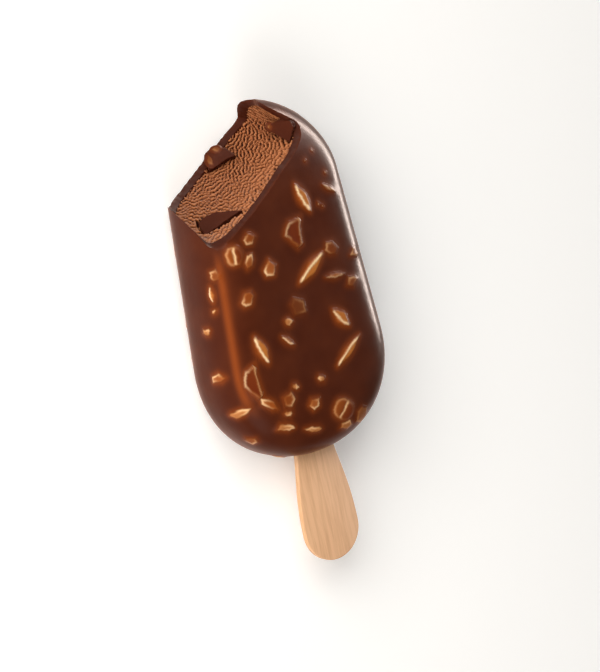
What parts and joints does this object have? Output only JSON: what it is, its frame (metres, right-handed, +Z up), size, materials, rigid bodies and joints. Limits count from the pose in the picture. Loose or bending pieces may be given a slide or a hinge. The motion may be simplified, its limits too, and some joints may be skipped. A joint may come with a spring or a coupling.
{
  "type": "ice cream bar",
  "caption": "Chocolate ice cream bar on a flat wooden paddle stick, in a glossy chocolate coating with nut pieces, one corner bitten off.",
  "frame": {"origin": "centre of the footprint of the whole bar and stick, on the surface that it lies on", "axes": "+X across the bar to the right, +Y along it from the stick to the bitten end, +Z up through its thickness"},
  "size_m": [0.0526, 0.1246, 0.027],
  "materials": {
    "chocolate_coating": "glossy dark milk chocolate with toasted nut pieces under its skin",
    "ice_cream": "matt frozen chocolate ice cream, torn by the bite",
    "stick_wood": "smooth pale birch, unvarnished",
    "broken_coating": "satin dark chocolate, snapped"
  },
  "bodies": {
    "root": {"chocolate_coating": "chocolate_coating", "ice_cream": "ice_cream", "stick": "stick_wood", "coating_flake_front": "broken_coating", "coating_flake_left": "broken_coating", "coating_flake_top": "broken_coating"}
  },
  "joints": []
}
